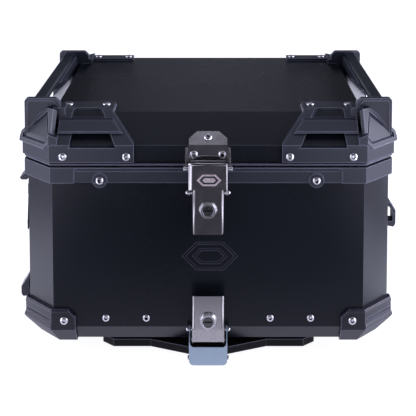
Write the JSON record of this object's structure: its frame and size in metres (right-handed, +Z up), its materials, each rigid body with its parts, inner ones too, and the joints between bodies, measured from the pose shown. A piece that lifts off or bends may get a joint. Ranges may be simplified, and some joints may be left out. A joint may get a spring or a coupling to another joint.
{
  "type": "motorcycle top case",
  "caption": "Black aluminium motorcycle top case with a rear-hinged lid, corner guards, side rails and lockable lever latches, on a quick-release base plate.",
  "frame": {"origin": "centre of the rack bolt pattern on the base plate underside", "axes": "+X right seen from the latch side, +Y away from the latch side towards the hinge, +Z up"},
  "size_m": [0.4526, 0.3702, 0.3005],
  "materials": {
    "black_sheet": "satin powder coat on aluminium sheet",
    "black_plastic": "fine-grained moulded plastic",
    "rail_metal": "satin blue-grey coat",
    "stainless": "brushed",
    "blue_hood": "satin",
    "bright_screws": "polished",
    "lock_face": "dark plated",
    "lock_metal": "polished",
    "plate_plastic": "coarse-grained moulded plastic",
    "seal_rubber": "matt",
    "strap_webbing": "woven webbing",
    "liner_felt": "felt"
  },
  "bodies": {
    "base_plate": {"base_plate": "plate_plastic", "plate_cross_bar": "stainless", "plate_rest_pads": "seal_rubber"},
    "top_lever": {"top_lever": "stainless", "top_link_pin": "bright_screws", "top_lock_barrel": "lock_metal"},
    "top_hood": {"top_hood": "stainless", "top_hook_pin": "bright_screws"},
    "top_lock": {"top_lock_plug": "lock_face", "top_lock_cam": "lock_metal"},
    "base_lever": {"base_lever": "stainless", "base_link_pin": "bright_screws", "base_lock_barrel": "lock_metal"},
    "base_hood": {"base_hood": "blue_hood", "base_hook_pin": "bright_screws"},
    "base_lock": {"base_lock_plug": "lock_face", "base_lock_cam": "lock_metal"},
    "lid": {"front_guard_left": "black_plastic", "front_guard_right": "black_plastic", "guard_skirt_screws": "bright_screws", "guard_top_screws": "bright_screws", "keeper_screws": "bright_screws", "left_rail": "rail_metal", "lid_hinge_leaf": "stainless", "lid_hinge_screws": "bright_screws", "lid_keeper": "stainless", "lid_rim": "black_plastic", "lid_seal": "seal_rubber", "lid_shell": "black_sheet", "lid_strap_anchors": "black_plastic", "rear_guard_left": "black_plastic", "rear_guard_right": "black_plastic", "right_rail": "rail_metal"},
    "case": {"base_latch_base": "stainless", "base_pivot_pin": "bright_screws", "base_staple": "stainless", "case_collar": "black_plastic", "case_hinge_leaf": "stainless", "case_hinge_screws": "bright_screws", "case_shell": "black_sheet", "case_strap_anchors": "black_plastic", "collar_screws": "bright_screws", "docking_frame": "stainless", "docking_screws": "bright_screws", "floor_mat": "liner_felt", "front_rivets": "bright_screws", "hinge_pin": "bright_screws", "lower_guard_front_left": "black_plastic", "lower_guard_front_right": "black_plastic", "lower_guard_rear_left": "black_plastic", "lower_guard_rear_right": "black_plastic", "lower_guard_screws": "bright_screws", "side_strap": "strap_webbing", "side_strap_anchors": "black_plastic", "stay_straps": "strap_webbing", "tie_loop": "black_plastic", "tie_loop_screws": "bright_screws", "top_latch_base": "stainless", "top_pivot_pin": "bright_screws", "top_staple": "stainless"}
  },
  "joints": [
    {"name": "case_tilt", "type": "hinge", "parent": "base_plate", "child": "case", "pos_m": [0, 0.105, 0.009], "axis": [-1, 0, 0], "range_deg": [0, 12]},
    {"name": "lid_hinge", "type": "hinge", "parent": "case", "child": "lid", "pos_m": [0, 0.176, 0.22925], "axis": [-1, 0, 0], "range_deg": [0, 95], "deforming": ["stay_straps"]},
    {"name": "top_lever_swing", "type": "hinge", "parent": "case", "child": "top_lever", "pos_m": [0, -0.183, 0.215], "axis": [-1, 0, 0], "range_deg": [0, 95]},
    {"name": "top_hood_swing", "type": "hinge", "parent": "top_lever", "child": "top_hood", "pos_m": [0, -0.1815, 0.203], "axis": [-1, 0, 0], "range_deg": [-86, 0]},
    {"name": "top_lock_turn", "type": "hinge", "parent": "top_lever", "child": "top_lock", "pos_m": [0, -0.1855, 0.1844], "axis": [0, 1, 0], "range_deg": [0, 90]},
    {"name": "base_lever_swing", "type": "hinge", "parent": "case", "child": "base_lever", "pos_m": [0, -0.1773, 0.028], "axis": [1, 0, 0], "range_deg": [0, 95]},
    {"name": "base_hood_swing", "type": "hinge", "parent": "base_lever", "child": "base_hood", "pos_m": [0, -0.175, 0.039], "axis": [1, 0, 0], "range_deg": [-86, 0]},
    {"name": "base_lock_turn", "type": "hinge", "parent": "base_lever", "child": "base_lock", "pos_m": [0, -0.1855, 0.054], "axis": [0, -1, 0], "range_deg": [0, 90]}
  ],
  "couplings": [
    {"joint": "top_hood_swing", "follows": "top_lever_swing", "ratio": -0.9},
    {"joint": "base_hood_swing", "follows": "base_lever_swing", "ratio": -0.9}
  ]
}
